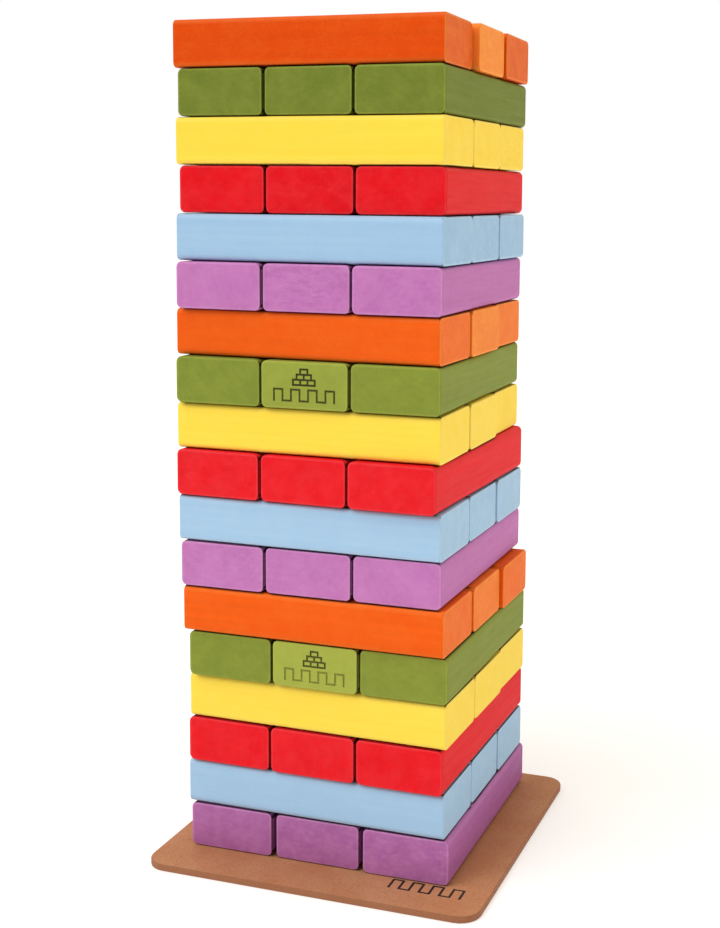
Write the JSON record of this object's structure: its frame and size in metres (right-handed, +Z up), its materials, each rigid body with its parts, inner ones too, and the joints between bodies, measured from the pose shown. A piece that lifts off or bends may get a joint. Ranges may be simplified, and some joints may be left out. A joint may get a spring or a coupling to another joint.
{
  "type": "giant tumbling tower",
  "caption": "Tall stacking game: painted wooden blocks in crossed layers of three, standing on a thin square fibreboard base; each block slides out along its own length.",
  "frame": {"origin": "middle of the underside of the base board", "axes": "+Z is up the tower; the layers run along X and Y in turn, the bottom layer along Y"},
  "size_m": [0.228, 0.228, 0.549],
  "materials": {
    "paint_purple": "thin satin paint, faint wood grain",
    "paint_blue": "thin satin paint, faint wood grain",
    "paint_red": "thin satin paint, faint wood grain",
    "paint_yellow": "thin satin paint, faint wood grain",
    "paint_green": "thin satin paint, faint wood grain",
    "paint_orange": "thin satin paint, faint wood grain",
    "fibreboard": "raw hardboard, matt"
  },
  "bodies": {
    "base_board": {"base_board": "fibreboard"},
    "layer01_purple_left": {"layer01_purple_left": "paint_purple"},
    "layer01_purple_middle": {"layer01_purple_middle": "paint_purple"},
    "layer01_purple_right": {"layer01_purple_right": "paint_purple"},
    "layer02_blue_front": {"layer02_blue_front": "paint_blue"},
    "layer02_blue_middle": {"layer02_blue_middle": "paint_blue"},
    "layer02_blue_back": {"layer02_blue_back": "paint_blue"},
    "layer03_red_left": {"layer03_red_left": "paint_red"},
    "layer03_red_middle": {"layer03_red_middle": "paint_red"},
    "layer03_red_right": {"layer03_red_right": "paint_red"},
    "layer04_yellow_front": {"layer04_yellow_front": "paint_yellow"},
    "layer04_yellow_middle": {"layer04_yellow_middle": "paint_yellow"},
    "layer04_yellow_back": {"layer04_yellow_back": "paint_yellow"},
    "layer05_green_left": {"layer05_green_left": "paint_green"},
    "layer05_green_middle": {"layer05_green_middle": "paint_green"},
    "layer05_green_right": {"layer05_green_right": "paint_green"},
    "layer06_orange_front": {"layer06_orange_front": "paint_orange"},
    "layer06_orange_middle": {"layer06_orange_middle": "paint_orange"},
    "layer06_orange_back": {"layer06_orange_back": "paint_orange"},
    "layer07_purple_left": {"layer07_purple_left": "paint_purple"},
    "layer07_purple_middle": {"layer07_purple_middle": "paint_purple"},
    "layer07_purple_right": {"layer07_purple_right": "paint_purple"},
    "layer08_blue_front": {"layer08_blue_front": "paint_blue"},
    "layer08_blue_middle": {"layer08_blue_middle": "paint_blue"},
    "layer08_blue_back": {"layer08_blue_back": "paint_blue"},
    "layer09_red_left": {"layer09_red_left": "paint_red"},
    "layer09_red_middle": {"layer09_red_middle": "paint_red"},
    "layer09_red_right": {"layer09_red_right": "paint_red"},
    "layer10_yellow_front": {"layer10_yellow_front": "paint_yellow"},
    "layer10_yellow_middle": {"layer10_yellow_middle": "paint_yellow"},
    "layer10_yellow_back": {"layer10_yellow_back": "paint_yellow"},
    "layer11_green_left": {"layer11_green_left": "paint_green"},
    "layer11_green_middle": {"layer11_green_middle": "paint_green"},
    "layer11_green_right": {"layer11_green_right": "paint_green"},
    "layer12_orange_front": {"layer12_orange_front": "paint_orange"},
    "layer12_orange_middle": {"layer12_orange_middle": "paint_orange"},
    "layer12_orange_back": {"layer12_orange_back": "paint_orange"},
    "layer13_purple_left": {"layer13_purple_left": "paint_purple"},
    "layer13_purple_middle": {"layer13_purple_middle": "paint_purple"},
    "layer13_purple_right": {"layer13_purple_right": "paint_purple"},
    "layer14_blue_front": {"layer14_blue_front": "paint_blue"},
    "layer14_blue_middle": {"layer14_blue_middle": "paint_blue"},
    "layer14_blue_back": {"layer14_blue_back": "paint_blue"},
    "layer15_red_left": {"layer15_red_left": "paint_red"},
    "layer15_red_middle": {"layer15_red_middle": "paint_red"},
    "layer15_red_right": {"layer15_red_right": "paint_red"},
    "layer16_yellow_front": {"layer16_yellow_front": "paint_yellow"},
    "layer16_yellow_middle": {"layer16_yellow_middle": "paint_yellow"},
    "layer16_yellow_back": {"layer16_yellow_back": "paint_yellow"},
    "layer17_green_left": {"layer17_green_left": "paint_green"},
    "layer17_green_middle": {"layer17_green_middle": "paint_green"},
    "layer17_green_right": {"layer17_green_right": "paint_green"},
    "layer18_orange_front": {"layer18_orange_front": "paint_orange"},
    "layer18_orange_middle": {"layer18_orange_middle": "paint_orange"},
    "layer18_orange_back": {"layer18_orange_back": "paint_orange"}
  },
  "joints": [
    {"name": "layer01_purple_left_slide", "type": "slide", "parent": "base_board", "child": "layer01_purple_left", "axis": [-0.0052, 1, 0], "range_m": [-0.185, 0.185]},
    {"name": "layer01_purple_middle_slide", "type": "slide", "parent": "base_board", "child": "layer01_purple_middle", "axis": [-0.0052, 1, 0], "range_m": [-0.185, 0.185]},
    {"name": "layer01_purple_right_slide", "type": "slide", "parent": "base_board", "child": "layer01_purple_right", "axis": [-0.0052, 1, 0], "range_m": [-0.185, 0.185]},
    {"name": "layer02_blue_front_slide", "type": "slide", "parent": "base_board", "child": "layer02_blue_front", "axis": [1, -0.0035, 0], "range_m": [-0.185, 0.185]},
    {"name": "layer02_blue_middle_slide", "type": "slide", "parent": "base_board", "child": "layer02_blue_middle", "axis": [1, -0.0035, 0], "range_m": [-0.185, 0.185]},
    {"name": "layer02_blue_back_slide", "type": "slide", "parent": "base_board", "child": "layer02_blue_back", "axis": [1, -0.0035, 0], "range_m": [-0.185, 0.185]},
    {"name": "layer03_red_left_slide", "type": "slide", "parent": "base_board", "child": "layer03_red_left", "axis": [0.0087, 1, 0], "range_m": [-0.185, 0.185]},
    {"name": "layer03_red_middle_slide", "type": "slide", "parent": "base_board", "child": "layer03_red_middle", "axis": [0.0087, 1, 0], "range_m": [-0.185, 0.185]},
    {"name": "layer03_red_right_slide", "type": "slide", "parent": "base_board", "child": "layer03_red_right", "axis": [0.0087, 1, 0], "range_m": [-0.185, 0.185]},
    {"name": "layer04_yellow_front_slide", "type": "slide", "parent": "base_board", "child": "layer04_yellow_front", "axis": [0.9999, -0.014, 0], "range_m": [-0.185, 0.185]},
    {"name": "layer04_yellow_middle_slide", "type": "slide", "parent": "base_board", "child": "layer04_yellow_middle", "axis": [0.9999, -0.014, 0], "range_m": [-0.185, 0.185]},
    {"name": "layer04_yellow_back_slide", "type": "slide", "parent": "base_board", "child": "layer04_yellow_back", "axis": [0.9999, -0.014, 0], "range_m": [-0.185, 0.185]},
    {"name": "layer05_green_left_slide", "type": "slide", "parent": "base_board", "child": "layer05_green_left", "axis": [-0.0035, 1, 0], "range_m": [-0.185, 0.185]},
    {"name": "layer05_green_middle_slide", "type": "slide", "parent": "base_board", "child": "layer05_green_middle", "axis": [-0.0035, 1, 0], "range_m": [-0.185, 0.185]},
    {"name": "layer05_green_right_slide", "type": "slide", "parent": "base_board", "child": "layer05_green_right", "axis": [-0.0035, 1, 0], "range_m": [-0.185, 0.185]},
    {"name": "layer06_orange_front_slide", "type": "slide", "parent": "base_board", "child": "layer06_orange_front", "axis": [1, -0.0017, 0], "range_m": [-0.185, 0.185]},
    {"name": "layer06_orange_middle_slide", "type": "slide", "parent": "base_board", "child": "layer06_orange_middle", "axis": [1, -0.0017, 0], "range_m": [-0.185, 0.185]},
    {"name": "layer06_orange_back_slide", "type": "slide", "parent": "base_board", "child": "layer06_orange_back", "axis": [1, -0.0017, 0], "range_m": [-0.185, 0.185]},
    {"name": "layer07_purple_left_slide", "type": "slide", "parent": "base_board", "child": "layer07_purple_left", "axis": [-0.0035, 1, 0], "range_m": [-0.185, 0.185]},
    {"name": "layer07_purple_middle_slide", "type": "slide", "parent": "base_board", "child": "layer07_purple_middle", "axis": [-0.0035, 1, 0], "range_m": [-0.185, 0.185]},
    {"name": "layer07_purple_right_slide", "type": "slide", "parent": "base_board", "child": "layer07_purple_right", "axis": [-0.0035, 1, 0], "range_m": [-0.185, 0.185]},
    {"name": "layer08_blue_front_slide", "type": "slide", "parent": "base_board", "child": "layer08_blue_front", "axis": [1, -0.0017, 0], "range_m": [-0.185, 0.185]},
    {"name": "layer08_blue_middle_slide", "type": "slide", "parent": "base_board", "child": "layer08_blue_middle", "axis": [1, -0.0017, 0], "range_m": [-0.185, 0.185]},
    {"name": "layer08_blue_back_slide", "type": "slide", "parent": "base_board", "child": "layer08_blue_back", "axis": [1, -0.0017, 0], "range_m": [-0.185, 0.185]},
    {"name": "layer09_red_left_slide", "type": "slide", "parent": "base_board", "child": "layer09_red_left", "axis": [0.0227, 0.9997, 0], "range_m": [-0.185, 0.185]},
    {"name": "layer09_red_middle_slide", "type": "slide", "parent": "base_board", "child": "layer09_red_middle", "axis": [0.0227, 0.9997, 0], "range_m": [-0.185, 0.185]},
    {"name": "layer09_red_right_slide", "type": "slide", "parent": "base_board", "child": "layer09_red_right", "axis": [0.0227, 0.9997, 0], "range_m": [-0.185, 0.185]},
    {"name": "layer10_yellow_front_slide", "type": "slide", "parent": "base_board", "child": "layer10_yellow_front", "axis": [1, -0.0017, 0], "range_m": [-0.185, 0.185]},
    {"name": "layer10_yellow_middle_slide", "type": "slide", "parent": "base_board", "child": "layer10_yellow_middle", "axis": [1, -0.0017, 0], "range_m": [-0.185, 0.185]},
    {"name": "layer10_yellow_back_slide", "type": "slide", "parent": "base_board", "child": "layer10_yellow_back", "axis": [1, -0.0017, 0], "range_m": [-0.185, 0.185]},
    {"name": "layer11_green_left_slide", "type": "slide", "parent": "base_board", "child": "layer11_green_left", "axis": [-0.0122, 0.9999, 0], "range_m": [-0.185, 0.185]},
    {"name": "layer11_green_middle_slide", "type": "slide", "parent": "base_board", "child": "layer11_green_middle", "axis": [-0.0122, 0.9999, 0], "range_m": [-0.185, 0.185]},
    {"name": "layer11_green_right_slide", "type": "slide", "parent": "base_board", "child": "layer11_green_right", "axis": [-0.0122, 0.9999, 0], "range_m": [-0.185, 0.185]},
    {"name": "layer12_orange_front_slide", "type": "slide", "parent": "base_board", "child": "layer12_orange_front", "axis": [0.9999, -0.0122, 0], "range_m": [-0.185, 0.185]},
    {"name": "layer12_orange_middle_slide", "type": "slide", "parent": "base_board", "child": "layer12_orange_middle", "axis": [0.9999, -0.0122, 0], "range_m": [-0.185, 0.185]},
    {"name": "layer12_orange_back_slide", "type": "slide", "parent": "base_board", "child": "layer12_orange_back", "axis": [0.9999, -0.0122, 0], "range_m": [-0.185, 0.185]},
    {"name": "layer13_purple_left_slide", "type": "slide", "parent": "base_board", "child": "layer13_purple_left", "axis": [-0.0105, 0.9999, 0], "range_m": [-0.185, 0.185]},
    {"name": "layer13_purple_middle_slide", "type": "slide", "parent": "base_board", "child": "layer13_purple_middle", "axis": [-0.0105, 0.9999, 0], "range_m": [-0.185, 0.185]},
    {"name": "layer13_purple_right_slide", "type": "slide", "parent": "base_board", "child": "layer13_purple_right", "axis": [-0.0105, 0.9999, 0], "range_m": [-0.185, 0.185]},
    {"name": "layer14_blue_front_slide", "type": "slide", "parent": "base_board", "child": "layer14_blue_front", "axis": [1, -0.0035, 0], "range_m": [-0.185, 0.185]},
    {"name": "layer14_blue_middle_slide", "type": "slide", "parent": "base_board", "child": "layer14_blue_middle", "axis": [1, -0.0035, 0], "range_m": [-0.185, 0.185]},
    {"name": "layer14_blue_back_slide", "type": "slide", "parent": "base_board", "child": "layer14_blue_back", "axis": [1, -0.0035, 0], "range_m": [-0.185, 0.185]},
    {"name": "layer15_red_left_slide", "type": "slide", "parent": "base_board", "child": "layer15_red_left", "axis": [-0.0157, 0.9999, 0], "range_m": [-0.185, 0.185]},
    {"name": "layer15_red_middle_slide", "type": "slide", "parent": "base_board", "child": "layer15_red_middle", "axis": [-0.0157, 0.9999, 0], "range_m": [-0.185, 0.185]},
    {"name": "layer15_red_right_slide", "type": "slide", "parent": "base_board", "child": "layer15_red_right", "axis": [-0.0157, 0.9999, 0], "range_m": [-0.185, 0.185]},
    {"name": "layer16_yellow_front_slide", "type": "slide", "parent": "base_board", "child": "layer16_yellow_front", "axis": [1, 0, 0], "range_m": [-0.185, 0.185]},
    {"name": "layer16_yellow_middle_slide", "type": "slide", "parent": "base_board", "child": "layer16_yellow_middle", "axis": [1, 0, 0], "range_m": [-0.185, 0.185]},
    {"name": "layer16_yellow_back_slide", "type": "slide", "parent": "base_board", "child": "layer16_yellow_back", "axis": [1, 0, 0], "range_m": [-0.185, 0.185]},
    {"name": "layer17_green_left_slide", "type": "slide", "parent": "base_board", "child": "layer17_green_left", "axis": [0, 1, 0], "range_m": [-0.185, 0.185]},
    {"name": "layer17_green_middle_slide", "type": "slide", "parent": "base_board", "child": "layer17_green_middle", "axis": [0, 1, 0], "range_m": [-0.185, 0.185]},
    {"name": "layer17_green_right_slide", "type": "slide", "parent": "base_board", "child": "layer17_green_right", "axis": [0, 1, 0], "range_m": [-0.185, 0.185]},
    {"name": "layer18_orange_front_lift", "type": "slide", "parent": "base_board", "child": "layer18_orange_front", "axis": [0, 0, 1], "range_m": [0, 0.2]},
    {"name": "layer18_orange_middle_lift", "type": "slide", "parent": "base_board", "child": "layer18_orange_middle", "axis": [0, 0, 1], "range_m": [0, 0.2]},
    {"name": "layer18_orange_back_lift", "type": "slide", "parent": "base_board", "child": "layer18_orange_back", "axis": [0, 0, 1], "range_m": [0, 0.2]}
  ]
}
